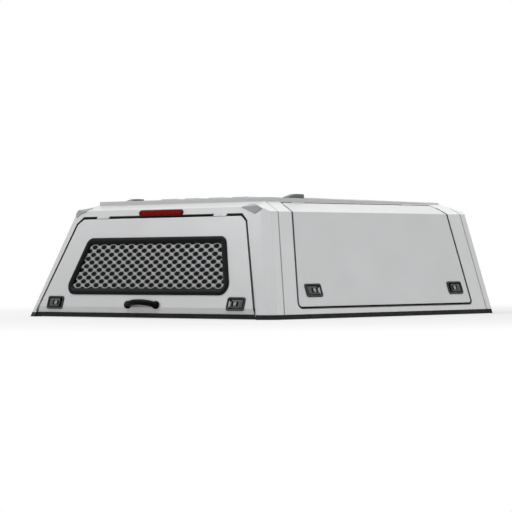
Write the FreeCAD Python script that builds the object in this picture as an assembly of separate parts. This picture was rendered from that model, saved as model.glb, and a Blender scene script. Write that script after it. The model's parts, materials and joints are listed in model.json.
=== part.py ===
import FreeCAD, Part
import math
import os

# Pickup truck canopy: a free-standing sheet steel shell with an open floor, two side doors
# hinged along the roof edge, a rear door hinged at its top, and a mesh-covered rear window.
# Millimetres. +X is the vehicle's right, +Y is forward, +Z is up. The origin is the middle
# of the footprint, on the underside of the base seal.

V = FreeCAD.Vector

# Overall form
BASE_HALF_WIDTH = 809.0
SIDE_LEAN = 169.0
BEND_HEIGHT = 483.0
BASE_LENGTH = 1635.0
REAR_LEAN = 145.0
FRONT_OVERHANG = 23.0
SHOULDER_RISE = 49.0
SHOULDER_SETBACK = 90.0
REAR_BREAK_RISE = 22.0
REAR_SHOULDER_SETBACK = 114.0
FRONT_SHOULDER_SETBACK = 100.0
FRONT_CORNER_FACET = 22.0
SHEET = 3.0

# Rear corner pillar, measured forward and inward from the rear corner of the base
PILLAR_WIDTH = 93.0
PILLAR_FACET_INSET = 32.0
PILLAR_FACET_START = 24.0
PILLAR_FACET_END = 57.0

# Seams of the side modules, measured from the rear and front edges of the base
REAR_SEAM = 106.0
FRONT_SEAM_INSET = 60.0

# Rear door, with heights measured up the slope of the rear face, its head down from the bend,
# and insets from the base's half width at the foot and the bend's half width at the top
REAR_DOOR_FOOT = 24.0
REAR_DOOR_HEAD = 19.8
REAR_DOOR_FOOT_INSET = 98.0
REAR_DOOR_TOP_INSET = 99.0
REAR_DOOR_CORNER = 26.0
REAR_DOOR_LIP_HEIGHT = 50.0
REAR_DOOR_LIP_CLEARANCE = 2.0
BOTTOM_SEAL_LIFT = 2.0
BOTTOM_SEAL_OVERHANG = 2.0
BOTTOM_SEAL_REACH = 24.0
REAR_HINGE_INSET = 156.0

# Side doors, measured from the rear and front edges of the base, and hinges from the door's edges
SIDE_DOOR_REAR = 207.0
SIDE_DOOR_FRONT_INSET = 169.0
SIDE_DOOR_SILL = 55.0
SIDE_DOOR_CORNER = 14.0
SIDE_DOOR_TOP_CORNER = 48.0
SIDE_HINGE_DROP = 10.0
SIDE_HINGE_REAR_INSET = 263.0
SIDE_HINGE_FRONT_INSET = 206.0

# Doors, their frames and their seals
DOOR_GAP = 8.0
DOOR_CLEARANCE = 5.0
DOOR_FRAME_DEPTH = 9.0
DOOR_FRAME_WIDTH = 35.0
SIDE_DOOR_FRAME_INSET = 6.0
SEAL_CLEARANCE = 0.5
SEAL_DEPTH = 4.5
SEAL_WIDTH = 9.0
SEAL_EDGE = 11.0
FLANGE_REACH = 22.0

# Rear window, with its foot measured up the slope of the rear face, its head down from the
# door's top, and insets from the door's edges
WINDOW_FOOT = 112.0
WINDOW_HEAD = 94.5
WINDOW_FOOT_INSET = 167.0
WINDOW_TOP_INSET = 92.0
WINDOW_FOOT_RADIUS = 46.0
WINDOW_TOP_RADIUS = 28.0
WINDOW_BORDER = 31.0
WINDOW_FRAME_PROUD = 7.0
WINDOW_CUT_INSET = 15.0
WINDOW_GLASS_OVERLAP = 8.0
GLASS = 4.0
WINDOW_BACKING = 25.0
FIT = 0.3

# Expanded metal screen over the rear window
MESH_PITCH_X = 59.4
MESH_PITCH_Y = 36.7
MESH_STRAND = 8.0
MESH_THICKNESS = 2.4
MESH_SMALLEST_HOLE = 60.0

# Latches, with places measured in from the edges of their doors
LATCH_WIDTH = 110.0
LATCH_HEIGHT = 64.0
LATCH_RADIUS = 9.0
LATCH_RIM = 8.0
LATCH_PROUD = 4.0
LATCH_DEPTH = 24.0
LATCH_WALL = 2.5
PADDLE_LENGTH = 70.0
PADDLE_HEIGHT = 39.0
PADDLE_THICKNESS = 3.0
PADDLE_PIN_RADIUS = 2.5
PADDLE_END_CLEARANCE = 1.0
REAR_LATCH_INSET = 119.0
REAR_LATCH_RISE = 72.0
SIDE_LATCH_REAR_INSET = 142.0
SIDE_LATCH_FRONT_INSET = 93.0
SIDE_LATCH_RISE = 134.0

# Pull handle
HANDLE_HALF_SPAN = 98.0
HANDLE_FOOT_RISE = 63.0
HANDLE_BOW_RISE = 79.5
HANDLE_STANDOFF = 30.0
HANDLE_RADIUS = 11.5
HANDLE_STEPS = 10
HANDLE_FOOT_RADIUS = 18.0
HANDLE_FOOT_HEIGHT = 10.0

# Brake light, with its middle above the bend, up the slope of the rear face
LAMP_LENGTH = 287.0
LAMP_HEIGHT = 30.0
LAMP_ABOVE_BEND = 4.0
LAMP_DEPTH = 8.0
LAMP_BEZEL = 3.0
LAMP_LENS_INSET = 1.5

# Hinges
HINGE_WIDTH = 82.0
HINGE_KNUCKLE = 28.0
HINGE_RADIUS = 3.6
HINGE_PIN_RADIUS = 2.0
HINGE_PIN_CLEARANCE = 0.08
HINGE_CLEARANCE = 0.5
HINGE_LEAF = 2.2
HINGE_LEAF_DEPTH = 11.0
ROD_SIDES = 12

# Base seal and clamp rails
BASE_SEAL_HEIGHT = 21.0
BASE_SEAL_WIDTH = 42.0
CLAMP_FLANGE_WIDTH = 82.0
CLAMP_HOLE_RADIUS = 5.5
CLAMP_HOLE_INSET = 60.0
CLAMP_HOLE_SPACING = 1100.0

# Roof, raised above the shoulder and set in from its rear and side edges and the base's front
ROOF_EDGE_INSET = 5.0
ROOF_FRONT_INSET = 105.0
ROOF_REAR_RISE = 19.0
ROOF_FRONT_RISE = 5.0
ROOF_FLANGE = 50.0
RIB_COUNT = 4
RIB_WIDTH = 110.0
RIB_PITCH = 156.0
RIB_HEIGHT = 12.0
RIB_FLANK = 10.0
RIB_REAR_INSET = 160.0
RIB_FRONT_INSET = 80.0
TRACK_INSET = 24.0
TRACK_WIDTH = 34.0
TRACK_HEIGHT = 5.0
TRACK_REAR_INSET = 150.0
TRACK_SLOT = 12.0
TRACK_CAP_LENGTH = 118.0
TRACK_CAP_HEIGHT = 20.0
BOW_WIDTH = 44.0
BOW_HEIGHT = 24.0
BOW_END_INSET = 31.0
BOW_COUNT = 3
BOW_REAR_INSET = 210.0
BOW_FRONT_INSET = 300.0

# Front window, with its head down from the bend
FRONT_WINDOW_FOOT = 130.0
FRONT_WINDOW_HEAD = 73.0
FRONT_WINDOW_INSET = 339.0
FRONT_WINDOW_RADIUS = 50.0
GASKET_WIDTH = 16.0
GASKET_PROUD = 5.0

# Grey corner plates at the ends of the rear header, folded over the rear break
CORNER_PLATE_HALF_WIDTH = 38.0
CORNER_PLATE_HALF_HEIGHT = 28.0
CORNER_PLATE_SKEW = 7.0
CORNER_PLATE_ABOVE_BEND = 18.0
CORNER_PLATE_THICKNESS = 2.5
CORNER_PLATE_RADIUS = 3.0

# The pull handle reaches this far behind the base, and the front window's gasket this far ahead
HANDLE_BEHIND_BASE = 17.0
GASKET_AHEAD_OF_BASE = 24.9
REAR_Y = -(BASE_LENGTH + GASKET_AHEAD_OF_BASE - HANDLE_BEHIND_BASE) / 2
FRONT_Y = REAR_Y + BASE_LENGTH

# Sizes of the blocks that the pieces are cut from, and the smallest radius left in a corner
REACH = 3000.0
REGION_DEPTH = 200.0
SMALLEST_RADIUS = 1.5

SIDE_SLOPE = SIDE_LEAN / BEND_HEIGHT
REAR_SLOPE = REAR_LEAN / BEND_HEIGHT
BEND_HALF_WIDTH = BASE_HALF_WIDTH - SIDE_LEAN
SHOULDER_HEIGHT = BEND_HEIGHT + SHOULDER_RISE
SHOULDER_HALF_WIDTH = BEND_HALF_WIDTH - SHOULDER_SETBACK
REAR_BREAK_HEIGHT = BEND_HEIGHT + REAR_BREAK_RISE
EDGE_DIRECTION = V(-SIDE_SLOPE, REAR_SLOPE, 1)

REAR_DOOR_FOOT_HALF_WIDTH = BASE_HALF_WIDTH - REAR_DOOR_FOOT_INSET
REAR_DOOR_TOP_HALF_WIDTH = BEND_HALF_WIDTH - REAR_DOOR_TOP_INSET
REAR_BEND = math.hypot(BEND_HEIGHT, REAR_LEAN)
REAR_DOOR_TOP = REAR_BEND - REAR_DOOR_HEAD
LAMP_RISE = REAR_BEND + LAMP_ABOVE_BEND
WINDOW_TOP = REAR_DOOR_TOP - WINDOW_HEAD
WINDOW_FOOT_HALF_WIDTH = REAR_DOOR_FOOT_HALF_WIDTH - WINDOW_FOOT_INSET
WINDOW_TOP_HALF_WIDTH = REAR_DOOR_TOP_HALF_WIDTH - WINDOW_TOP_INSET
FRONT_WINDOW_TOP = BEND_HEIGHT - FRONT_WINDOW_HEAD
CORNER_PLATE_HEIGHT = BEND_HEIGHT + CORNER_PLATE_ABOVE_BEND
SIDE_DOOR_FRONT = BASE_LENGTH - SIDE_DOOR_FRONT_INSET
ROOF_REAR = REAR_SLOPE * REAR_BREAK_HEIGHT + REAR_SHOULDER_SETBACK + ROOF_EDGE_INSET
ROOF_FRONT = BASE_LENGTH - ROOF_FRONT_INSET
ROOF_REAR_HEIGHT = SHOULDER_HEIGHT + ROOF_REAR_RISE
ROOF_FRONT_HEIGHT = SHOULDER_HEIGHT + ROOF_FRONT_RISE
RIB_REAR = ROOF_REAR + RIB_REAR_INSET
RIB_FRONT = ROOF_FRONT - RIB_FRONT_INSET

DOOR_INNER_DEPTH = SHEET + DOOR_FRAME_DEPTH
SEAL_FACE = DOOR_INNER_DEPTH + SEAL_CLEARANCE
FLANGE_FACE = SEAL_FACE + SEAL_DEPTH
FLANGE_BACK = FLANGE_FACE + SHEET

REAR_UP = V(0, REAR_SLOPE, 1)
REAR_UP.normalize()
REAR_OUT = V(1, 0, 0).cross(REAR_UP)
SIDE_UP = V(-SIDE_SLOPE, 0, 1)
SIDE_UP.normalize()
SIDE_OUT = V(0, 1, 0).cross(SIDE_UP)
BEVEL_DOWN = V(SHOULDER_SETBACK, 0, -SHOULDER_RISE)
BEVEL_DOWN.normalize()
BEVEL_OUT = V(SHOULDER_RISE, 0, SHOULDER_SETBACK)
BEVEL_OUT.normalize()


def rear_y(height):
    return REAR_Y + REAR_SLOPE * height


def front_y(height):
    return FRONT_Y + FRONT_OVERHANG * height / BEND_HEIGHT


def joined(shapes):
    whole = shapes[0]
    for shape in shapes[1:]:
        whole = whole.fuse(shape)
    return whole.removeSplitter()


def mirrored(shape):
    return shape.mirror(V(0, 0, 0), V(1, 0, 0))


def save(name, *solids):
    shape = solids[0] if len(solids) == 1 else Part.makeCompound(list(solids))
    shape.exportStep("parts/" + name + ".step")


def block(low, high):
    return Part.makeBox(high[0] - low[0], high[1] - low[1], high[2] - low[2], V(*low))


def polygon(points):
    corners = [V(*point) for point in points]
    return Part.Face(Part.makePolygon(corners + corners[:1]))


def along_x(points, start, end):
    """Prism of an outline drawn in Y and Z."""
    return polygon([(start, y, z) for y, z in points]).extrude(V(end - start, 0, 0))


def along_y(points, start, end):
    """Prism of an outline drawn in X and Z."""
    return polygon([(x, start, z) for x, z in points]).extrude(V(0, end - start, 0))


def rod(radius, start, end):
    """Straight bar with flats, whose edges lie at the radius."""
    along = end - start
    spoke = along.cross(V(along.y, along.z, along.x))
    spoke.normalize()
    turn = FreeCAD.Rotation(along, 360.0 / ROD_SIDES)
    corners = []
    for i in range(ROD_SIDES):
        corners.append(start + spoke * radius)
        spoke = turn.multVec(spoke)
    return polygon(corners).extrude(along)


def rounded_outline(points, radii, smooth=True):
    """Flat outline in X and Y, as a wire whose corners are arcs, or else pairs of chords."""
    edges = []
    count = len(points)
    starts = []
    ends = []
    arcs = []
    for i in range(count):
        corner = V(*points[i], 0)
        back = V(*points[i - 1], 0) - corner
        ahead = V(*points[(i + 1) % count], 0) - corner
        back.normalize()
        ahead.normalize()
        half_angle = back.getAngle(ahead) / 2
        cut = radii[i] / math.tan(half_angle)
        middle = back + ahead
        middle.normalize()
        depth = radii[i] / math.sin(half_angle) - radii[i]
        starts.append(corner + back * cut)
        ends.append(corner + ahead * cut)
        arcs.append(corner + middle * depth)
    for i in range(count):
        if radii[i] > 0 and smooth:
            edges.append(Part.Arc(starts[i], arcs[i], ends[i]).toShape())
        elif radii[i] > 0:
            edges.append(Part.LineSegment(starts[i], arcs[i]).toShape())
            edges.append(Part.LineSegment(arcs[i], ends[i]).toShape())
        edges.append(Part.LineSegment(ends[i], starts[(i + 1) % count]).toShape())
    return Part.Wire(edges)


def rounded_plate(points, radii, low, high, smooth=True):
    plate = Part.Face(rounded_outline(points, radii, smooth))
    plate.translate(V(0, 0, low))
    return plate.extrude(V(0, 0, high - low))


def placed(shape, origin, across, up, out):
    """Turns a piece drawn flat, X across, Y up and Z outward, onto its face."""
    turn = FreeCAD.Rotation(across, up, out, "ZXY")
    moved = shape.copy()
    moved.Placement = FreeCAD.Placement(origin, turn).multiply(shape.Placement)
    return moved


def on_rear(shape):
    return placed(shape, V(0, REAR_Y, 0), V(1, 0, 0), REAR_UP, REAR_OUT)


def on_side(shape):
    return placed(shape, V(BASE_HALF_WIDTH, REAR_Y, 0), V(0, 1, 0), SIDE_UP, SIDE_OUT)


def half_space(point, normal):
    """Everything behind a plane, as a block that is larger than the object."""
    behind = block((-REACH, -REACH, -2 * REACH), (REACH, REACH, 0))
    behind.Placement = FreeCAD.Placement(point, FreeCAD.Rotation(V(0, 0, 1), normal))
    return behind


def pillar_creases():
    """Feet of the right pillar's three vertical creases, from the rear face to the side."""
    rear = V(BASE_HALF_WIDTH - PILLAR_WIDTH, REAR_Y, 0)
    middle = V(BASE_HALF_WIDTH - PILLAR_FACET_INSET, REAR_Y + PILLAR_FACET_START, 0)
    side = V(BASE_HALF_WIDTH, REAR_Y + PILLAR_FACET_END, 0)
    return rear, middle, side


def outer_planes():
    """Planes of the shell's outer faces, as a point and an outward normal."""
    rear_bevel_out = V(0, REAR_BREAK_HEIGHT - SHOULDER_HEIGHT, REAR_SHOULDER_SETBACK)
    planes = [
        (V(0, REAR_Y, 0), REAR_OUT),
        (V(0, rear_y(REAR_BREAK_HEIGHT), REAR_BREAK_HEIGHT), rear_bevel_out),
        (V(0, FRONT_Y, 0), V(0, BEND_HEIGHT, -FRONT_OVERHANG)),
    ]
    setback = FRONT_SHOULDER_SETBACK + FRONT_OVERHANG
    planes.append((V(0, front_y(BEND_HEIGHT), BEND_HEIGHT), V(0, SHOULDER_RISE, setback)))
    rear, middle, side = pillar_creases()
    sides = [
        (V(BASE_HALF_WIDTH, 0, 0), SIDE_OUT),
        (V(BEND_HALF_WIDTH, 0, BEND_HEIGHT), BEVEL_OUT),
        (middle, (middle - rear).cross(EDGE_DIRECTION)),
        (side, (side - middle).cross(EDGE_DIRECTION)),
        (V(BASE_HALF_WIDTH - FRONT_CORNER_FACET, FRONT_Y, 0), V(1, 1, SIDE_SLOPE)),
    ]
    for point, normal in sides:
        planes.append((point, normal))
        planes.append((V(-point.x, point.y, point.z), V(-normal.x, normal.y, normal.z)))
    return planes


def envelope(inset, foot):
    """Solid form of the canopy with every face moved inward by inset, from foot upward."""
    top = SHOULDER_HEIGHT - inset
    form = block((-BASE_HALF_WIDTH, 2 * REAR_Y, foot), (BASE_HALF_WIDTH, 2 * FRONT_Y, top))
    for point, normal in outer_planes():
        outward = V(normal)
        outward.normalize()
        form = form.common(half_space(point - outward * inset, outward))
    return form


def layer(outer_inset, inner_inset, foot=BASE_SEAL_HEIGHT):
    """Sheet that follows the shell between two depths below its outer face."""
    return envelope(outer_inset, foot).cut(envelope(inner_inset, foot - 1))


def rear_door_points(grow, foot):
    """Outline of the rear door grown by a margin, up the slope of the rear face."""
    height = REAR_DOOR_TOP - REAR_DOOR_FOOT
    narrowing = (REAR_DOOR_FOOT_HALF_WIDTH - REAR_DOOR_TOP_HALF_WIDTH) / height
    margin = grow * math.hypot(1, narrowing)
    corner = REAR_DOOR_CORNER + grow * (2 - math.sqrt(2))
    top = REAR_DOOR_TOP + grow
    foot_half = REAR_DOOR_FOOT_HALF_WIDTH - narrowing * (foot - REAR_DOOR_FOOT) + margin
    corner_half = REAR_DOOR_TOP_HALF_WIDTH + narrowing * (REAR_DOOR_TOP - top + corner) + margin
    top_half = REAR_DOOR_TOP_HALF_WIDTH + margin - corner
    right = [(foot_half, foot), (corner_half, top - corner), (top_half, top)]
    left = [(-x, s) for x, s in reversed(right)]
    return right + left


def rear_region(grow, foot=-REAR_DOOR_FOOT):
    """Everything in line with the rear door, grown by a margin."""
    points = rear_door_points(grow, foot)
    return on_rear(rounded_plate(points, [0.0] * len(points), -REGION_DEPTH, REGION_DEPTH))


def side_region(grow, smooth=True):
    """Everything in line with the right side door, grown by a margin."""
    foot = SIDE_DOOR_SILL - grow
    top = SHOULDER_HEIGHT + (grow - SIDE_HINGE_DROP) * BEVEL_OUT.x
    rear = SIDE_DOOR_REAR - grow
    front = SIDE_DOOR_FRONT + grow
    points = [
        (REAR_SLOPE * foot + rear, foot),
        (front, foot),
        (front, top),
        (REAR_SLOPE * top + rear, top),
    ]
    corner = max(SIDE_DOOR_CORNER + grow, SMALLEST_RADIUS)
    radii = [corner, corner, SIDE_DOOR_TOP_CORNER + grow, 0.0]
    outline = rounded_plate(points, radii, 0, BASE_HALF_WIDTH + REGION_DEPTH, smooth)
    prism = placed(outline, V(0, REAR_Y, 0), V(0, 1, 0), V(0, 0, 1), V(1, 0, 0))
    edge = V(SHOULDER_HALF_WIDTH, 0, SHOULDER_HEIGHT)
    upper_limit = SIDE_HINGE_DROP + DOOR_GAP / 2 - grow
    return prism.common(half_space(edge + BEVEL_DOWN * upper_limit, BEVEL_DOWN * -1))


def seam_region():
    """Everything between the rear and front seams of the side modules."""
    foot = -REGION_DEPTH
    top = SHOULDER_HEIGHT + REGION_DEPTH
    front = FRONT_Y - FRONT_SEAM_INSET
    points = [(rear_y(foot) + REAR_SEAM, foot), (front, foot), (front, top), (rear_y(top) + REAR_SEAM, top)]
    return along_x(points, -BASE_HALF_WIDTH, BASE_HALF_WIDTH)


def roof_opening():
    """Hole in the shoulder that the roof panel covers."""
    inner = SHOULDER_HALF_WIDTH - ROOF_FLANGE
    rear = REAR_Y + ROOF_REAR + ROOF_FLANGE
    front = REAR_Y + ROOF_FRONT - ROOF_FLANGE
    return block((-inner, rear, BEND_HEIGHT), (inner, front, SHOULDER_HEIGHT + 1))


def header_region():
    """Everything between the two rear pillars, over the rear door."""
    half = REAR_DOOR_TOP_HALF_WIDTH
    front = REAR_Y + ROOF_REAR + ROOF_FLANGE
    return block((-half, 2 * REAR_Y, BEND_HEIGHT / 2), (half, front, SHOULDER_HEIGHT + 1))


def build_shell():
    """Outer sheet panels of the fixed shell."""
    skin = layer(0, SHEET).cut(roof_opening())
    side_opening = side_region(DOOR_GAP)
    rear_opening = rear_region(DOOR_GAP)
    seams = seam_region()
    inner = SHOULDER_HALF_WIDTH - ROOF_FLANGE
    right_side = block((inner, 2 * REAR_Y, 0), (BASE_HALF_WIDTH, 2 * FRONT_Y, SHOULDER_HEIGHT))
    side_panel = skin.common(seams).common(right_side).cut(side_opening)
    header = skin.common(header_region()).cut(rear_opening).cut(side_panel).cut(mirrored(side_panel))
    rear_half = block((0, 2 * REAR_Y, 0), (BASE_HALF_WIDTH, 0, SHOULDER_HEIGHT))
    pillar = skin.common(rear_half).cut(seams).cut(rear_opening).cut(header_region())
    save("side_panel_right", side_panel)
    save("side_panel_left", mirrored(side_panel))
    save("rear_header", header)
    save("rear_pillar_right", pillar)
    save("rear_pillar_left", mirrored(pillar))
    front_half = block((-REACH, 0, 0), (REACH, REACH, SHOULDER_HEIGHT))
    front = skin.common(front_half).cut(side_panel).cut(mirrored(side_panel))
    front = front.cut(side_opening).cut(mirrored(side_opening))
    save("front_wall", front.cut(front_window_region(0)))


def front_window_region(grow, smooth=True):
    """Everything in line with the front window, grown by a margin."""
    half = BASE_HALF_WIDTH - FRONT_WINDOW_INSET + grow
    foot = FRONT_WINDOW_FOOT - grow
    top = FRONT_WINDOW_TOP + grow
    points = [(-half, foot), (half, foot), (half, top), (-half, top)]
    radii = [FRONT_WINDOW_RADIUS + grow] * 4
    outline = rounded_plate(points, radii, -REGION_DEPTH, REGION_DEPTH, smooth)
    return placed(outline, V(0, FRONT_Y, 0), V(-1, 0, 0), V(0, 0, 1), V(0, 1, 0))


def front_slab(outer_inset, inner_inset):
    """Layer parallel to the front face between two depths, negative ones being outside it."""
    normal = V(0, BEND_HEIGHT, -FRONT_OVERHANG)
    normal.normalize()
    foot = V(0, FRONT_Y, 0)
    slab = half_space(foot - normal * outer_inset, normal)
    return slab.cut(half_space(foot - normal * inner_inset, normal))


def build_front_window():
    """Rubber gasket gripping the wall's edge and the glass, both with chords at their corners."""
    inner_edge = front_window_region(-GASKET_WIDTH / 2, False)
    lip = front_window_region(GASKET_WIDTH / 2, False).cut(inner_edge)
    groove = front_window_region(0, False).cut(inner_edge)
    outer_lip = lip.common(front_slab(-GASKET_PROUD, 0))
    inner_lip = lip.common(front_slab(SHEET, SHEET + GASKET_PROUD))
    web = groove.common(front_slab(0, SHEET))
    outer_face = SHEET / 2 - GLASS / 2
    inner_face = SHEET / 2 + GLASS / 2
    glass_seat = front_window_region(-FIT, False).common(front_slab(outer_face - FIT, inner_face + FIT))
    glass = front_window_region(-2 * FIT, False).common(front_slab(outer_face, inner_face))
    save("front_window_gasket", joined([outer_lip, web, inner_lip]).cut(glass_seat))
    save("front_window_glass", glass)


def door_frame_ring(region):
    """Joggled flange behind a door opening that carries its seal."""
    wall = region(DOOR_GAP + SHEET).cut(region(DOOR_GAP)).common(layer(SHEET, FLANGE_BACK))
    flange = region(DOOR_GAP + SHEET).cut(region(DOOR_GAP - FLANGE_REACH))
    return joined([wall, flange.common(layer(FLANGE_FACE, FLANGE_BACK))])


def seal_strip(outer, inner):
    return outer.cut(inner).common(layer(SEAL_FACE, FLANGE_FACE))


def build_door_frames():
    seal_outer = DOOR_GAP - SEAL_EDGE
    seal_inner = seal_outer - SEAL_WIDTH
    side_frame = door_frame_ring(side_region)
    side_seal = seal_strip(side_region(seal_outer, False), side_region(seal_inner, False))
    save("side_door_frame_right", side_frame)
    save("side_door_frame_left", mirrored(side_frame))
    save("rear_door_frame", door_frame_ring(rear_region))
    save("rear_door_seal", seal_strip(rear_region(seal_outer), rear_region(seal_inner)))
    save("side_door_seals", side_seal, mirrored(side_seal))


def build_base():
    """Rubber seal under the shell, and the flanges that are clamped to the load bed's rails."""
    sole = envelope(0, 0).cut(envelope(BASE_SEAL_WIDTH, -1))
    low = block((-REACH, -REACH, 0), (REACH, REACH, BASE_SEAL_HEIGHT))
    sole = sole.common(low).cut(rear_region(DOOR_GAP))
    split = FRONT_Y - BASE_SEAL_WIDTH - SHEET
    ahead = block((-REACH, split, -1), (REACH, REACH, BASE_SEAL_HEIGHT + 1))
    right = block((0, -REACH, -1), (REACH, split, BASE_SEAL_HEIGHT + 1))
    right_seal = sole.common(right)
    save("base_seal_right", right_seal)
    save("base_seal_left", mirrored(right_seal))
    save("base_seal_front", sole.common(ahead))
    top = BASE_SEAL_HEIGHT + SHEET
    flange = layer(SHEET, CLAMP_FLANGE_WIDTH)
    flange = flange.common(block((-REACH, -REACH, 0), (REACH, REACH, top)))
    flange = flange.cut(rear_region(DOOR_GAP + SHEET))
    hole_x = BASE_HALF_WIDTH - CLAMP_HOLE_INSET
    for place in (-CLAMP_HOLE_SPACING / 2, CLAMP_HOLE_SPACING / 2):
        hole = Part.makeCylinder(CLAMP_HOLE_RADIUS, 2 * SHEET, V(hole_x, place, BASE_SEAL_HEIGHT - 1))
        flange = flange.cut(hole)
    split = FRONT_Y - CLAMP_FLANGE_WIDTH
    rail = flange.common(block((0, -REACH, 0), (REACH, split, REACH)))
    save("clamp_rail_right", rail)
    save("clamp_rail_left", mirrored(rail))
    save("front_rail", flange.common(block((-REACH, split, 0), (REACH, REACH, REACH))))


def roof_height(y):
    share = (y - ROOF_REAR) / (ROOF_FRONT - ROOF_REAR)
    return ROOF_REAR_HEIGHT + (ROOF_FRONT_HEIGHT - ROOF_REAR_HEIGHT) * share


def roof_strip(half, rear, front, low, rise):
    """Wedge between a level and the sloping roof surface, raised by rise."""
    points = [
        (REAR_Y + rear, low),
        (REAR_Y + front, low),
        (REAR_Y + front, roof_height(front) + rise),
        (REAR_Y + rear, roof_height(rear) + rise),
    ]
    return along_x(points, -half, half)


def rib(thinner):
    """Trapezoid bead pressed up from the roof, with its faces moved inward by thinner."""
    half = RIB_WIDTH / 2 - thinner
    top_half = half - RIB_FLANK
    low = SHOULDER_HEIGHT
    high = ROOF_REAR_HEIGHT + 2 * RIB_HEIGHT
    section = [(-half, low), (half, low), (top_half, high), (-top_half, high)]
    bead = along_y(section, REAR_Y + RIB_REAR + thinner, REAR_Y + RIB_FRONT - thinner)
    return bead.common(roof_strip(half, RIB_REAR, RIB_FRONT, low, RIB_HEIGHT - thinner))


def build_roof():
    """Roof skin pressed with ribs, as a tray whose turned-down edges stand on the shoulder."""
    half = SHOULDER_HALF_WIDTH - ROOF_EDGE_INSET
    low = SHOULDER_HEIGHT
    tray = roof_strip(half, ROOF_REAR, ROOF_FRONT, low, 0)
    hollow = roof_strip(half - SHEET, ROOF_REAR + SHEET, ROOF_FRONT - SHEET, low - 1, -SHEET)
    ribs = []
    rib_hollows = []
    for i in range(RIB_COUNT):
        place = V((i - (RIB_COUNT - 1) / 2) * RIB_PITCH, 0, 0)
        bead = rib(0)
        bead.translate(place)
        ribs.append(bead)
        inside = rib(SHEET)
        inside.translate(place)
        rib_hollows.append(inside)
    panel = joined([tray] + ribs)
    for inside in [hollow] + rib_hollows:
        panel = panel.cut(inside)
    save("roof_panel", panel.removeSplitter())


def build_roof_tracks():
    half = TRACK_WIDTH / 2
    low = SHOULDER_HEIGHT
    rear = ROOF_REAR + TRACK_REAR_INSET
    cap_end = rear + TRACK_CAP_LENGTH
    base = roof_strip(half, rear, ROOF_FRONT - SHEET, low, TRACK_HEIGHT)
    cap = roof_strip(half, rear, cap_end, low, TRACK_CAP_HEIGHT)
    slot_top = ROOF_REAR_HEIGHT + TRACK_HEIGHT
    slot = block((-TRACK_SLOT / 2, REAR_Y + cap_end, low), (TRACK_SLOT / 2, FRONT_Y, slot_top))
    under_roof = roof_strip(TRACK_WIDTH, 0, BASE_LENGTH, 0, 0)
    track = base.cut(slot).fuse(cap).cut(under_roof)
    track.translate(V(SHOULDER_HALF_WIDTH - TRACK_INSET, 0, 0))
    save("roof_tracks", *(track.Solids + mirrored(track).Solids))


def build_roof_bows():
    """Box-section bars under the shoulder that carry the roof."""
    bows = []
    top = SHOULDER_HEIGHT - SHEET
    half_span = SHOULDER_HALF_WIDTH - BOW_END_INSET
    first = REAR_Y + ROOF_REAR + BOW_REAR_INSET
    last = REAR_Y + ROOF_FRONT - BOW_FRONT_INSET
    for i in range(BOW_COUNT):
        rear = first + (last - first) * i / (BOW_COUNT - 1) - BOW_WIDTH / 2
        front = rear + BOW_WIDTH
        bow = block((-half_span, rear, top - BOW_HEIGHT), (half_span, front, top))
        inside_low = (-REACH, rear + SHEET, top - BOW_HEIGHT + SHEET)
        bows.append(bow.cut(block(inside_low, (REACH, front - SHEET, top - SHEET))))
    save("roof_bows", *bows)


def build_corner_plates():
    """Lozenge plates that cover the joint of header, pillar and shoulder."""
    corners = [
        (-CORNER_PLATE_HALF_WIDTH, CORNER_PLATE_SKEW),
        (CORNER_PLATE_SKEW, -CORNER_PLATE_HALF_HEIGHT),
        (CORNER_PLATE_HALF_WIDTH, -CORNER_PLATE_SKEW),
        (-CORNER_PLATE_SKEW, CORNER_PLATE_HALF_HEIGHT),
    ]
    prism = rounded_plate(corners, [CORNER_PLATE_RADIUS] * 4, -REGION_DEPTH, REGION_DEPTH, False)
    start, end, side = pillar_creases()
    across = end - start
    out = across.cross(EDGE_DIRECTION)
    out.normalize()
    across.normalize()
    middle = (start + end) * 0.5 + EDGE_DIRECTION * CORNER_PLATE_HEIGHT
    right = placed(prism, middle, across, out.cross(across), out).common(layer(-CORNER_PLATE_THICKNESS, 0))
    save("corner_plates", right, mirrored(right))


def lamp_bar(inset, low, high):
    half = LAMP_LENGTH / 2 - inset
    rise = LAMP_HEIGHT / 2 - inset
    foot = LAMP_RISE - rise
    top = LAMP_RISE + rise
    points = [(-half, foot), (half, foot), (half, top), (-half, top)]
    return on_rear(rounded_plate(points, [rise - FIT] * 4, low, high))


def build_brake_light():
    save("brake_light_bezel", lamp_bar(0, 0, LAMP_BEZEL))
    save("brake_light_lens", lamp_bar(LAMP_LENS_INSET, LAMP_BEZEL, LAMP_DEPTH))


def barrel(radius, start, end):
    return rod(radius, V(start, 0, 0), V(end, 0, 0))


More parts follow.
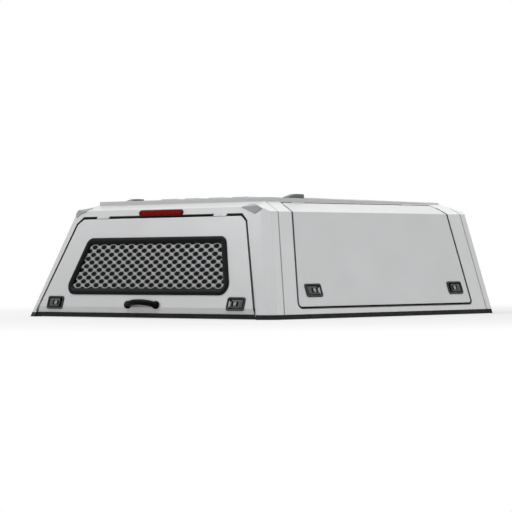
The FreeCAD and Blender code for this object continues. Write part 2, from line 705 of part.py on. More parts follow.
def hinge_leaves():
    """Fixed and moving leaves about an axis along X, with the door below it and Z outward."""
    half = HINGE_WIDTH / 2
    knuckle = HINGE_KNUCKLE / 2
    clear_knuckle = knuckle + HINGE_CLEARANCE
    clear_radius = HINGE_RADIUS + HINGE_CLEARANCE
    bore_radius = (HINGE_PIN_RADIUS + HINGE_PIN_CLEARANCE) / math.cos(math.pi / ROD_SIDES)
    pin = Part.makeCylinder(HINGE_PIN_RADIUS, HINGE_WIDTH, V(-half, 0, 0), V(1, 0, 0))
    seat = DOOR_GAP / 2
    fixed_plate = block((-half, seat - HINGE_LEAF, -HINGE_LEAF_DEPTH), (half, seat, 0))
    fixed_plate = fixed_plate.cut(barrel(clear_radius, -clear_knuckle, clear_knuckle))
    left_end = barrel(HINGE_RADIUS, -half, -clear_knuckle)
    right_end = barrel(HINGE_RADIUS, clear_knuckle, half)
    fixed = joined([fixed_plate, pin, left_end, right_end])
    moving_plate = block((-half, -seat, -HINGE_LEAF_DEPTH), (half, HINGE_LEAF - seat, 0))
    moving_plate = moving_plate.cut(barrel(clear_radius, -half, -knuckle))
    moving_plate = moving_plate.cut(barrel(clear_radius, knuckle, half))
    moving = joined([moving_plate, barrel(HINGE_RADIUS, -knuckle, knuckle)])
    return fixed, moving.cut(barrel(bore_radius, -half, half))


def build_hinges():
    fixed, moving = hinge_leaves()
    axis_rise = REAR_DOOR_TOP + DOOR_GAP / 2
    fixed_all = []
    rear_moving = []
    rear_hinge_x = REAR_DOOR_TOP_HALF_WIDTH - REAR_HINGE_INSET
    for x in (-rear_hinge_x, rear_hinge_x):
        for leaf, group in ((fixed, fixed_all), (moving, rear_moving)):
            piece = leaf.copy()
            piece.translate(V(x, axis_rise, 0))
            group.append(on_rear(piece))
    side_moving = []
    edge = V(SHOULDER_HALF_WIDTH, REAR_Y, SHOULDER_HEIGHT)
    for y in (SIDE_DOOR_REAR + SIDE_HINGE_REAR_INSET, SIDE_DOOR_FRONT - SIDE_HINGE_FRONT_INSET):
        origin = edge + BEVEL_DOWN * SIDE_HINGE_DROP + V(0, y, 0)
        piece = placed(fixed, origin, V(0, 1, 0), BEVEL_DOWN * -1, BEVEL_OUT)
        fixed_all.extend([piece, mirrored(piece)])
        side_moving.append(placed(moving, origin, V(0, 1, 0), BEVEL_DOWN * -1, BEVEL_OUT))
    save("hinge_leaves_fixed", *fixed_all)
    save("rear_door_hinge_leaves", *rear_moving)
    save("side_door_hinge_leaves_right", *side_moving)
    save("side_door_hinge_leaves_left", *[mirrored(leaf) for leaf in side_moving])


def latch_outline(margin, low, high):
    half = LATCH_WIDTH / 2 + margin
    rise = LATCH_HEIGHT / 2 + margin
    points = [(-half, -rise), (half, -rise), (half, rise), (-half, rise)]
    return rounded_plate(points, [max(LATCH_RADIUS + margin, SMALLEST_RADIUS)] * 4, low, high, False)


def latch_pieces():
    """Housing, paddle and skin cut-out of a latch whose paddle is hinged at its +X end."""
    rim = latch_outline(0, 0, LATCH_PROUD)
    tub = latch_outline(-LATCH_RIM, -LATCH_DEPTH, 0)
    dish_inset = LATCH_RIM + LATCH_WALL
    dish = latch_outline(-dish_inset, LATCH_WALL - LATCH_DEPTH, LATCH_PROUD + 1)
    housing = joined([rim, tub]).cut(dish)
    hinge_x = LATCH_WIDTH / 2 - dish_inset - PADDLE_PIN_RADIUS - PADDLE_END_CLEARANCE
    half = PADDLE_HEIGHT / 2
    thick = PADDLE_THICKNESS / 2
    plate = block((hinge_x - PADDLE_LENGTH, -half, -thick), (hinge_x, half, thick))
    pin_half = LATCH_HEIGHT / 2 - dish_inset - FIT
    pin = Part.makeCylinder(PADDLE_PIN_RADIUS, 2 * pin_half, V(hinge_x, -pin_half, 0), V(0, 1, 0))
    paddle = joined([plate, pin])
    hole = latch_outline(FIT - LATCH_RIM, -LATCH_DEPTH, 1)
    return housing, paddle, hole


def build_rear_door():
    housing, paddle, hole = latch_pieces()
    region = rear_region(0, REAR_DOOR_FOOT)
    lip_y = rear_y(REAR_DOOR_LIP_HEIGHT)
    foot = BASE_SEAL_HEIGHT + REAR_DOOR_LIP_CLEARANCE
    above = block((-REACH, -REACH, REAR_DOOR_LIP_HEIGHT), (REACH, REACH, REACH))
    lip = block((-REACH, lip_y, foot), (REACH, lip_y + SHEET, REAR_DOOR_LIP_HEIGHT))
    lip = lip.common(rear_region(0))
    skin = region.common(layer(0, SHEET)).common(above)
    skin = joined([skin, lip])
    frame = region.cut(rear_region(-DOOR_FRAME_WIDTH, WINDOW_FOOT - WINDOW_BORDER / 2))
    frame = frame.common(layer(SHEET, DOOR_INNER_DEPTH)).common(above)
    backing = window_plate(WINDOW_BACKING, -DOOR_INNER_DEPTH, -SHEET)
    glass_edge = WINDOW_GLASS_OVERLAP - WINDOW_CUT_INSET
    backing = backing.cut(window_plate(glass_edge + FIT, -DOOR_INNER_DEPTH - 1, 0))
    frame = joined([frame, backing])
    skin = skin.cut(window_plate(-WINDOW_CUT_INSET, -REGION_DEPTH, REGION_DEPTH))
    housings = []
    for side in (-1, 1):
        cut = hole.copy()
        body = housing.copy()
        lever = paddle.copy()
        if side < 0:
            cut = mirrored(cut)
            body = mirrored(body)
            lever = mirrored(lever)
        place = V(side * (REAR_DOOR_FOOT_HALF_WIDTH - REAR_LATCH_INSET), REAR_LATCH_RISE, 0)
        for piece in (cut, body, lever):
            piece.translate(place)
        skin = skin.cut(on_rear(cut))
        frame = frame.cut(on_rear(cut))
        housings.append(on_rear(body))
        save("rear_latch_paddle_" + ("left" if side < 0 else "right"), on_rear(lever))
    save("rear_door_skin", skin)
    save("rear_door_inner_frame", frame)
    save("rear_latch_housings", *housings)
    seal_low = (-REACH, lip_y - BOTTOM_SEAL_OVERHANG, BOTTOM_SEAL_LIFT)
    under_lip = block(seal_low, (REACH, lip_y + SHEET, foot)).common(rear_region(0))
    between_flanges = rear_region(DOOR_GAP - FLANGE_REACH - DOOR_CLEARANCE)
    inside = block(seal_low, (REACH, lip_y + BOTTOM_SEAL_REACH, foot)).common(between_flanges)
    save("rear_door_bottom_seal", joined([under_lip, inside]))
    build_rear_window()
    build_pull_handle()


def window_outline(grow, smooth=True):
    narrowing = (WINDOW_FOOT_HALF_WIDTH - WINDOW_TOP_HALF_WIDTH) / (WINDOW_TOP - WINDOW_FOOT)
    margin = grow * math.hypot(1, narrowing)
    foot_half = WINDOW_FOOT_HALF_WIDTH + margin + narrowing * grow
    top_half = WINDOW_TOP_HALF_WIDTH + margin - narrowing * grow
    foot = WINDOW_FOOT - grow
    top = WINDOW_TOP + grow
    points = [(-foot_half, foot), (foot_half, foot), (top_half, top), (-top_half, top)]
    foot_radius = max(WINDOW_FOOT_RADIUS + grow, SMALLEST_RADIUS)
    top_radius = max(WINDOW_TOP_RADIUS + grow, SMALLEST_RADIUS)
    return rounded_outline(points, [foot_radius, foot_radius, top_radius, top_radius], smooth)


def window_plate(grow, low, high):
    plate = Part.Face(window_outline(grow))
    plate.translate(V(0, 0, low))
    return on_rear(plate.extrude(V(0, 0, high - low)))


def build_mesh_holes():
    """Diamond holes of the screen, cut back to the solid strip round its edge."""
    half_diagonal = math.hypot(MESH_PITCH_X, MESH_PITCH_Y) / 2
    hole_x = MESH_PITCH_X / 2 - MESH_STRAND * half_diagonal / MESH_PITCH_Y
    hole_y = MESH_PITCH_Y / 2 - MESH_STRAND * half_diagonal / MESH_PITCH_X
    rows = int((WINDOW_TOP - WINDOW_FOOT) / MESH_PITCH_Y) + 2
    columns = int(WINDOW_FOOT_HALF_WIDTH / MESH_PITCH_X) + 2
    middle = (WINDOW_TOP + WINDOW_FOOT) / 2
    area = Part.Face(window_outline(MESH_STRAND - WINDOW_BORDER, False))
    holes = []
    for row in range(-rows, rows + 1):
        for column in range(-columns, columns + 1):
            x = (column + (row % 2) / 2) * MESH_PITCH_X
            s = middle + row * MESH_PITCH_Y / 2
            corners = [(x - hole_x, s, 0), (x, s - hole_y, 0), (x + hole_x, s, 0), (x, s + hole_y, 0)]
            hole = polygon(corners).common(area)
            if hole.Area > MESH_SMALLEST_HOLE:
                holes.append(hole.Faces[0].OuterWire)
    return holes


def build_mesh():
    """Expanded metal screen: a sheet with rows of diamond holes, cut off by the frame."""
    sheet = Part.Face([window_outline(-WINDOW_CUT_INSET - FIT)] + build_mesh_holes())
    sheet.translate(V(0, 0, -FIT - MESH_THICKNESS))
    save("rear_window_mesh", on_rear(sheet.extrude(V(0, 0, MESH_THICKNESS))))


def build_rear_window():
    frame = window_plate(0, 0, WINDOW_FRAME_PROUD)
    frame = frame.cut(window_plate(-WINDOW_BORDER, -1, WINDOW_FRAME_PROUD + 1))
    save("rear_window_frame", frame)
    glass_face = -SHEET - FIT
    glass = window_plate(WINDOW_GLASS_OVERLAP - WINDOW_CUT_INSET, glass_face - GLASS, glass_face)
    save("rear_window_glass", glass)
    build_mesh()


def arched_bar(start, middle, end):
    """Solid of many-sided rings that follow an arc through three points."""
    arc = Part.Arc(start, middle, end).toShape().Curve
    center = arc.Center
    normal = (middle - start).cross(end - start)
    normal.normalize()
    spoke = start - center
    spoke.normalize()
    sweep = math.degrees(spoke.getAngle(end - center))
    rings = []
    for step in range(HANDLE_STEPS + 1):
        turn = FreeCAD.Rotation(normal, sweep * step / HANDLE_STEPS)
        out = turn.multVec(spoke)
        ring = []
        for side in range(ROD_SIDES):
            angle = 2 * math.pi * side / ROD_SIDES
            offset = out * math.cos(angle) + normal * math.sin(angle)
            ring.append(center + out * arc.Radius + offset * HANDLE_RADIUS)
        rings.append(ring)
    faces = [polygon(rings[0]), polygon(rings[-1])]
    for low, high in zip(rings, rings[1:]):
        for side in range(ROD_SIDES):
            faces.append(polygon([low[side - 1], low[side], high[side], high[side - 1]]))
    return Part.makeSolid(Part.makeShell(faces))


def build_pull_handle():
    left = V(-HANDLE_HALF_SPAN, HANDLE_FOOT_RISE, 0)
    right = V(HANDLE_HALF_SPAN, HANDLE_FOOT_RISE, 0)
    bow = arched_bar(left, V(0, HANDLE_BOW_RISE, HANDLE_STANDOFF), right)
    bow = bow.common(block((-REACH, -REACH, 0), (REACH, REACH, REACH)))
    height = V(0, 0, HANDLE_FOOT_HEIGHT)
    feet = [rod(HANDLE_FOOT_RADIUS, foot, foot + height) for foot in (left, right)]
    save("pull_handle", on_rear(joined([bow] + feet)))


def build_side_doors():
    housing, paddle, hole = latch_pieces()
    region = side_region(0)
    skin = region.common(layer(0, SHEET))
    frame = side_region(-SIDE_DOOR_FRAME_INSET).cut(side_region(-DOOR_FRAME_WIDTH))
    frame = frame.common(layer(SHEET, DOOR_INNER_DEPTH))
    housings = []
    paddles = {}
    rear = SIDE_DOOR_REAR + SIDE_LATCH_REAR_INSET
    front = SIDE_DOOR_FRONT - SIDE_LATCH_FRONT_INSET
    places = (("rear", rear, -1), ("front", front, 1))
    for name, y, facing in places:
        cut = hole.copy()
        body = housing.copy()
        lever = paddle.copy()
        if facing < 0:
            cut = mirrored(cut)
            body = mirrored(body)
            lever = mirrored(lever)
        for piece in (cut, body, lever):
            piece.translate(V(y, SIDE_LATCH_RISE, 0))
        skin = skin.cut(on_side(cut))
        frame = frame.cut(on_side(cut))
        housings.append(on_side(body))
        paddles[name] = on_side(lever)
    save("side_door_skin_right", skin)
    save("side_door_skin_left", mirrored(skin))
    save("side_door_inner_frame_right", frame)
    save("side_door_inner_frame_left", mirrored(frame))
    save("side_latch_housings_right", *housings)
    save("side_latch_housings_left", *[mirrored(body) for body in housings])
    for name, lever in paddles.items():
        save("side_latch_paddle_right_" + name, lever)
        save("side_latch_paddle_left_" + name, mirrored(lever))


os.makedirs("parts", exist_ok=True)
build_shell()
build_door_frames()
build_base()
build_roof()
build_roof_tracks()
build_roof_bows()
build_front_window()
build_corner_plates()
build_brake_light()
build_hinges()
build_rear_door()
build_side_doors()
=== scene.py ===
import json
import math

import bmesh
import bpy
from mathutils import Matrix, Vector


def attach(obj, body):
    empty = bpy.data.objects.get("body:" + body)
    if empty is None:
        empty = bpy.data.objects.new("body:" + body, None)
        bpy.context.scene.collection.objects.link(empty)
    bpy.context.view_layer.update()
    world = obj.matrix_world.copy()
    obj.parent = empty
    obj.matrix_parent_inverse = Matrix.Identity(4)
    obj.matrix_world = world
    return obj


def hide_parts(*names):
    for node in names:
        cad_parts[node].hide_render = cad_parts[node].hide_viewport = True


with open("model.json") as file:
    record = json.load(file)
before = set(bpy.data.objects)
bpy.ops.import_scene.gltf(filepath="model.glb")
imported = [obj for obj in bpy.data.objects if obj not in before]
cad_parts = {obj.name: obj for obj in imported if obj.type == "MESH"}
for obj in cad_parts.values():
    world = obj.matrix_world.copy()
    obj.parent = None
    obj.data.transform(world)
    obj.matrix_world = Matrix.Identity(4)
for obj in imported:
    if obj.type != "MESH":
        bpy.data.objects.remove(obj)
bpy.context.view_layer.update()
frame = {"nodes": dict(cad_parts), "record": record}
nodes = frame["nodes"]

# Sizes of the frame that the pieces below sit on, in metres.
# Lengths along the canopy count from its rear foot, at REAR_Y; heights and halves from the origin.
REAR_Y = -0.82145
BASE_HALF = 0.809
BEND_HALF = 0.640
BEND_Z = 0.483
SHOULDER_HALF = 0.550
SHOULDER_Z = 0.532
REAR_SLOPE = 0.145 / 0.483
SIDE_SLOPE = 0.169 / 0.483
SEAL_HEIGHT = 0.021
REAR_SEAM = 0.106
FRONT_SEAM, FRONT_SEAM_HALF, FRONT_SEAM_Z = 1.575, 0.5793, 0.5161

WINDOW_FOOT, WINDOW_TOP = 0.112, 0.390
WINDOW_FOOT_HALF, WINDOW_TOP_HALF = 0.544, 0.449
WINDOW_FOOT_RADIUS, WINDOW_TOP_RADIUS = 0.048, 0.042
MESH_EDGE = 0.0153
MESH_PITCH_X, MESH_PITCH_Y = 0.0615, 0.0373
MESH_STRAND = 0.0075
MESH_ROWS, MESH_COLUMNS = 9, 11

REAR_DOOR_FOOT, REAR_DOOR_TOP, REAR_DOOR_CORNER = 0.026, 0.4845, 0.026
REAR_DOOR_FOOT_HALF, REAR_DOOR_TOP_HALF = 0.7104, 0.541
REAR_HINGE_X, HINGE_HALF = 0.385, 0.041
SIDE_DOOR_REAR, SIDE_DOOR_FRONT, SIDE_DOOR_SILL = 0.207, 1.466, 0.055
SIDE_DOOR_CORNER, SIDE_DOOR_TOP_CORNER = 0.014, 0.048
SIDE_TRIM_TOP = 0.515
DOOR_GAP, TRIM_WIDTH, SIDE_TRIM_WIDTH, TRIM_TUCK = 0.008, 0.005, 0.003, 0.0005

ROOF_REAR, ROOF_REAR_Z, ROOF_FRONT, ROOF_FRONT_Z = 0.2706, 0.551, 1.530, 0.537
TRACK_X, TRACK_HALF, TRACK_HEIGHT, TRACK_REAR, TRACK_FRONT = 0.526, 0.017, 0.005, 0.4206, 1.527
CAP_LENGTH, CAP_HEIGHT = 0.118, 0.020

REAR_BREAK_Z, REAR_SHOULDER_SETBACK = 0.505, 0.114
PLATE_Z = 0.501
PLATE_CORNERS = [Vector((-0.062, 0.004)), Vector((0.010, -0.030)), Vector((0.042, -0.006)),
                 Vector((-0.022, 0.040))]
PLATE_THICKNESS = 0.002
PILLAR_CREASES = ((0.716, 0.0), (0.777, 0.024), (0.809, 0.057))

LATCH_HALF, LATCH_RISE, LATCH_RADIUS = 0.055, 0.032, 0.012
PADDLE_PIN_X = 0.041
LOCK_X = -0.004
SCOOP_SPACING, SCOOP_HALF, SCOOP_RISE = 0.0145, 0.0048, 0.0125
DISH_INSET = 0.0092
CRESCENT_RISE, CRESCENT_ENDS, CRESCENT_BULGE = 0.0195, 0.0024, 0.0098
LIP_RISE = 0.0140
PADDLE_LENGTH, PADDLE_RISE = 0.070, 0.0195
REAR_LATCH = (0.592, 0.072)
SIDE_LATCHES = {"rear": (0.349, -1), "front": (1.373, 1)}
SIDE_LATCH_RISE = 0.134

HANDLE_HALF, HANDLE_FOOT, HANDLE_BOW, HANDLE_STANDOFF = 0.092, 0.063, 0.0700, 0.0255
HANDLE_RADIUS, HANDLE_WIDENING, HANDLE_ARCH = 0.0122, 1.15, 2.6

LAMP_HALF, LAMP_RISE, LAMP_CENTRE = 0.1435, 0.015, 0.5083

SEAM_HALF, SEAM_CROWN, SEAM_LIFT = 0.0035, 0.0022, 0.0004

CAMERA_PLACE = (8.0088, -7.8406 + REAR_Y, 0.2523)
CAMERA_TARGET = (0.02, -0.05, 0.285)
CAMERA_SENSOR, CAMERA_LENS, CAMERA_ROLL = 36, 87.57 * 1.95, -0.35


def face_matrix(origin, across, up):
    """Puts a piece drawn flat, X across, Y up and Z outward, onto its face."""
    out = across.cross(up)
    return Matrix.Translation(origin) @ Matrix((across, up, out)).transposed().to_4x4()


REAR_UP = Vector((0, REAR_SLOPE, 1)).normalized()
SIDE_UP = Vector((-SIDE_SLOPE, 0, 1)).normalized()
REAR = face_matrix(Vector((0, REAR_Y, 0)), Vector((1, 0, 0)), REAR_UP)
SIDE = face_matrix(Vector((BASE_HALF, REAR_Y, 0)), Vector((0, 1, 0)), SIDE_UP)
MIRROR = Matrix.Diagonal((-1, 1, 1, 1))


# Materials


def node(tree, kind, **values):
    """Shader node with its inputs, or else its settings, set by name."""
    made = tree.nodes.new(kind)
    for name, value in values.items():
        if name in made.inputs:
            made.inputs[name].default_value = value
        else:
            setattr(made, name, value)
    return made


def noise_value(tree, coordinates, scale, detail=3.0, stretch=None):
    """Noise from 0 to 1 over the object's own coordinates, drawn out along an axis by stretch."""
    source = coordinates
    if stretch:
        mapping = node(tree, "ShaderNodeMapping")
        mapping.inputs["Scale"].default_value = stretch
        tree.links.new(coordinates, mapping.inputs["Vector"])
        source = mapping.outputs["Vector"]
    texture = node(tree, "ShaderNodeTexNoise", Scale=scale, Detail=detail)
    tree.links.new(source, texture.inputs["Vector"])
    return texture.outputs["Fac"]


def ranged(tree, value, low, high):
    """Noise stretched so that its usual span runs from low to high."""
    scaled = node(tree, "ShaderNodeMapRange")
    scaled.inputs["From Min"].default_value = 0.3
    scaled.inputs["From Max"].default_value = 0.7
    scaled.inputs["To Min"].default_value = low
    scaled.inputs["To Max"].default_value = high
    tree.links.new(value, scaled.inputs["Value"])
    return scaled.outputs["Result"]


def multiplied(tree, first, second):
    """Product of two values."""
    product = node(tree, "ShaderNodeMath", operation="MULTIPLY")
    tree.links.new(first, product.inputs[0])
    tree.links.new(second, product.inputs[1])
    return product.outputs[0]


def tinted(tree, color, value):
    """Color times a value near 1."""
    scaled = node(tree, "ShaderNodeVectorMath", operation="SCALE")
    scaled.inputs[0].default_value = color
    tree.links.new(value, scaled.inputs["Scale"])
    return scaled.outputs["Vector"]


def surface(name, color, roughness, tone=0.04, tone_scale=2.0, grain=0.03, grain_scale=900.0,
            bump=0.15, bump_scale=500.0, bump_depth=0.0001, stretch=None, edge=0.0, **sockets):
    """Material whose colour, roughness and relief vary, with its edges shaded round by edge."""
    material = bpy.data.materials.new(name)
    material.use_nodes = True
    tree = material.node_tree
    shader = tree.nodes["Principled BSDF"]
    coordinates = node(tree, "ShaderNodeTexCoord").outputs["Object"]
    broad = ranged(tree, noise_value(tree, coordinates, tone_scale), 1 - tone, 1 + tone)
    fine = ranged(tree, noise_value(tree, coordinates, grain_scale, 1.0, stretch), 1 - grain, 1 + grain)
    tree.links.new(tinted(tree, color, multiplied(tree, broad, fine)), shader.inputs["Base Color"])
    wear = noise_value(tree, coordinates, tone_scale * 3.7, 4.0)
    tree.links.new(ranged(tree, wear, roughness * 0.88, roughness * 1.14), shader.inputs["Roughness"])
    relief = node(tree, "ShaderNodeBump", Strength=bump, Distance=bump_depth)
    if edge:
        soft = node(tree, "ShaderNodeBevel", Radius=edge)
        soft.samples = 4
        tree.links.new(soft.outputs["Normal"], relief.inputs["Normal"])
    tree.links.new(noise_value(tree, coordinates, bump_scale, 2.0, stretch), relief.inputs["Height"])
    tree.links.new(relief.outputs["Normal"], shader.inputs["Normal"])
    for socket, value in sockets.items():
        shader.inputs[socket.replace("_", " ")].default_value = value
    return material


def lens_material():
    """Red lens with upright flutes."""
    material = surface("red_lens", (0.175, 0.0004, 0.0015), 0.28, tone=0.06, tone_scale=9.0, grain=0.02,
                       Specular_IOR_Level=0.04)
    tree = material.node_tree
    coordinates = node(tree, "ShaderNodeTexCoord").outputs["Object"]
    flutes = node(tree, "ShaderNodeTexWave", Scale=55.0)
    flutes.bands_direction = "X"
    tree.links.new(coordinates, flutes.inputs["Vector"])
    relief = node(tree, "ShaderNodeBump", Strength=0.5, Distance=0.0006)
    tree.links.new(flutes.outputs["Fac"], relief.inputs["Height"])
    tree.links.new(relief.outputs["Normal"], tree.nodes["Principled BSDF"].inputs["Normal"])
    return material


LIGHT_PAINT = {"tone": 0.015, "tone_scale": 1.4, "grain": 0.035, "grain_scale": 1400.0, "bump": 0.06,
               "bump_scale": 330.0, "edge": 0.002, "Metallic": 0.35}
RUBBER = {"tone": 0.12, "tone_scale": 8.0, "grain": 0.1, "bump": 0.5, "bump_scale": 1500.0,
          "Specular_IOR_Level": 0.2}
MOULDED = {"tone_scale": 14.0, "grain": 0.06, "bump": 0.35, "bump_scale": 1800.0}
MATERIALS = {
    "silver_paint": surface("silver_paint", (0.53, 0.535, 0.54), 0.36, Coat_Weight=0.3,
                            Coat_Roughness=0.22, **LIGHT_PAINT),
    "door_paint": surface("door_paint", (0.52, 0.525, 0.53), 0.42, Coat_Weight=0.25,
                          Coat_Roughness=0.3, **LIGHT_PAINT),
    "primed_steel": surface("primed_steel", (0.36, 0.37, 0.38), 0.55, tone=0.05, grain=0.05,
                            edge=0.001, Metallic=0.2),
    # Near black for the door frames: painted shade, so that the gaps round the doors read dark.
    "gap_shade_black": surface("gap_shade_black", (0.012, 0.012, 0.013), 0.5, tone=0.08, tone_scale=6.0,
                           edge=0.001, Specular_IOR_Level=0.3),
    # The screen's steel in two tones: the lighter one on the strand crossings is a painted highlight, the
    # darker strand copy is painted shade.
    "mesh_steel": surface("mesh_steel", (0.27, 0.274, 0.278), 0.45, tone=0.06, tone_scale=20.0,
                          grain=0.05, bump=0.25, bump_scale=900.0, Metallic=0.5),
    "mesh_strand_shade": surface("mesh_strand_shade", (0.17, 0.172, 0.175), 0.5, tone=0.10, tone_scale=20.0,
                           grain=0.05, bump=0.25, bump_scale=900.0, Metallic=0.4),
    "window_frame_black": surface("window_frame_black", (0.005, 0.005, 0.006), 0.45, tone=0.08,
                                  tone_scale=5.0, bump=0.3, bump_scale=1200.0,
                                  Specular_IOR_Level=0.06),
    "tinted_glass": surface("tinted_glass", (0.002, 0.0022, 0.0025), 0.06, tone=0.03, grain=0.0,
                            bump=0.02, bump_scale=12.0, Transmission_Weight=0.08, IOR=1.45,
                            Specular_IOR_Level=0.06),
    "black_rubber": surface("black_rubber", (0.010, 0.010, 0.0105), 0.75, **RUBBER),
    "black_plastic": surface("black_plastic", (0.019, 0.019, 0.020), 0.38, tone=0.1,
                             Specular_IOR_Level=0.25, **MOULDED),
    "gloss_plastic": surface("gloss_plastic", (0.0025, 0.0025, 0.003), 0.3, tone=0.1,
                             tone_scale=14.0, grain=0.02, bump=0.08, bump_scale=900.0,
                             Specular_IOR_Level=0.03),
    "paddle_grey": surface("paddle_grey", (0.060, 0.061, 0.063), 0.42, tone=0.08,
                           Specular_IOR_Level=0.3, **MOULDED),
    "worn_rubber": surface("worn_rubber", (0.16, 0.16, 0.161), 0.75, **RUBBER),
    # The dish crescents take this pale metal as a painted highlight.
    "striker_zinc": surface("striker_zinc", (0.40, 0.40, 0.41), 0.3, tone=0.06, tone_scale=40.0,
                            grain=0.04, Metallic=0.6),
    "red_lens": lens_material(),
    "anodised_aluminium": surface("anodised_aluminium", (0.55, 0.55, 0.56), 0.35, tone=0.03,
                                  grain=0.08, grain_scale=600.0, stretch=(1.0, 0.04, 1.0),
                                  bump=0.2, edge=0.0008, Metallic=0.9),
    "lock_metal": surface("lock_metal", (0.26, 0.26, 0.265), 0.4, tone=0.05, tone_scale=60.0,
                          Metallic=0.8),
    "grey_plate": surface("grey_plate", (0.25, 0.255, 0.26), 0.5, tone=0.04, tone_scale=12.0,
                          grain=0.05, edge=0.0008, Metallic=0.3),
    "cap_plastic": surface("cap_plastic", (0.12, 0.12, 0.125), 0.5, tone=0.08, tone_scale=10.0,
                           bump=0.3, bump_scale=1500.0),
    "sealant": surface("sealant", (0.35, 0.352, 0.355), 0.6, tone=0.08, tone_scale=30.0,
                       grain=0.08),
}

DOOR_NODES = ("side_door_skin_right", "side_door_skin_left")
FRAME_NODES = ("rear_door_frame", "side_door_frame_right", "side_door_frame_left")
slot_of_node = {row["node"]: row["material_slot"] for row in frame["record"]["subparts"]}
for name, obj in nodes.items():
    wanted = slot_of_node[name]
    if name in DOOR_NODES:
        wanted = "door_paint"
    # The door frames take the near-black material as painted shade in the gaps round the doors.
    if name in FRAME_NODES:
        wanted = "gap_shade_black"
    obj.data.materials.clear()
    obj.data.materials.append(MATERIALS[wanted])


# Meshes

IN_PLACE = Matrix.Identity(4)
BOTH_SIDES = [IN_PLACE, MIRROR]


def add_piece(name, shape, matrices, body, material, sharp=35.0):
    """Makes the mesh an object once for each matrix that the drawn shape is placed by."""
    made = bmesh.new()
    for matrix in matrices:
        copy = shape.copy()
        bmesh.ops.transform(copy, matrix=matrix, verts=copy.verts)
        part = bpy.data.meshes.new("part")
        copy.to_mesh(part)
        copy.free()
        made.from_mesh(part)
        bpy.data.meshes.remove(part)
    bmesh.ops.recalc_face_normals(made, faces=made.faces)
    for face in made.faces:
        face.smooth = True
    for edge in made.edges:
        if len(edge.link_faces) == 2 and edge.calc_face_angle() > math.radians(sharp):
            edge.smooth = False
    mesh = bpy.data.meshes.new(name)
    made.to_mesh(mesh)
    made.free()
    mesh.materials.append(MATERIALS[material])
    obj = bpy.data.objects.new(name, mesh)
    bpy.context.scene.collection.objects.link(obj)
    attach(obj, body)
    return obj


def loft(shape, rings, first=True, last=True):
    """Skins a row of closed rings that have as many points each."""
    made = [[shape.verts.new(point) for point in ring] for ring in rings]
    for low, high in zip(made, made[1:]):
        for i in range(len(low)):
            shape.faces.new((low[i - 1], low[i], high[i], high[i - 1]))
    if first:
        shape.faces.new(reversed(made[0]))
    if last:
        shape.faces.new(made[-1])
    return made


def rounded(points, radii, steps=7):
    """Corners of a flat outline, each turned into an arc."""
    outline = []
    for i, radius in enumerate(radii):
        corner = Vector(points[i])
        back = (Vector(points[i - 1]) - corner).normalized()
        ahead = (Vector(points[(i + 1) % len(points)]) - corner).normalized()
        half = back.angle(ahead) / 2
        centre = corner + (back + ahead).normalized() * radius / math.sin(half)
        start = corner + back * radius / math.tan(half) - centre
        end = corner + ahead * radius / math.tan(half) - centre
        sweep = math.pi - 2 * half
        for step in range(steps + 1):
            share = step / steps
            spoke = start * math.sin((1 - share) * sweep) + end * math.sin(share * sweep)
            outline.append(centre + spoke / math.sin(sweep))
    return outline


def rectangle(half, rise, radius, middle=(0.0, 0.0), steps=7):
    """Rectangle of two halves about a middle, with its corners rounded as far as it has room."""
    x, y = middle
    points = [(x - half, y - rise), (x + half, y - rise), (x + half, y + rise), (x - half, y + rise)]
    return rounded(points, [min(radius, rise * 0.999, half * 0.999)] * 4, steps)


def at_height(outline, z):
    """Ring of a flat outline at a height."""
    return [(point[0], point[1], z) for point in outline]


def window_corners(grow):
    """Corners of the rear window, which narrows upward, grown by a margin."""
    narrowing = (WINDOW_FOOT_HALF - WINDOW_TOP_HALF) / (WINDOW_TOP - WINDOW_FOOT)
    margin = grow * math.hypot(1, narrowing)
    foot_half = WINDOW_FOOT_HALF + margin + narrowing * grow
    top_half = WINDOW_TOP_HALF + margin - narrowing * grow
    foot, top = WINDOW_FOOT - grow, WINDOW_TOP + grow
    return [(-foot_half, foot), (foot_half, foot), (top_half, top), (-top_half, top)]


def window_outline(grow, steps=10):
    """Outline of the rear window with its round corners, grown by a margin."""
    foot = max(WINDOW_FOOT_RADIUS + grow, 0.004)
    top = max(WINDOW_TOP_RADIUS + grow, 0.004)
    return rounded(window_corners(grow), [foot, foot, top, top], steps)


# Rear window: a bevelled frame round the screen

shape = bmesh.new()
profile = [(-0.0305, 0.0), (-0.0005, 0.0), (0.0, 0.0005), (0.0, 0.0034), (-0.0007, 0.0048),
           (-0.0022, 0.0058), (-0.0125, 0.0068), (-0.0160, 0.0068), (-0.0180, 0.0062),
           (-0.0285, 0.0036), (-0.0303, 0.0026), (-0.0310, 0.0014), (-0.0310, 0.0003)]
rings = [at_height(window_outline(grow), z) for grow, z in profile]
made = loft(shape, rings, False, False)
for i in range(len(made[0])):
    shape.faces.new((made[-1][i - 1], made[-1][i], made[0][i], made[0][i - 1]))
window_frame = add_piece("window_frame_moulding", shape, [REAR], "rear_door",
                         "window_frame_black")
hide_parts("rear_window_frame")


# Expanded metal screen: each hole is a diamond with blunt corners, in strands with a raised ridge


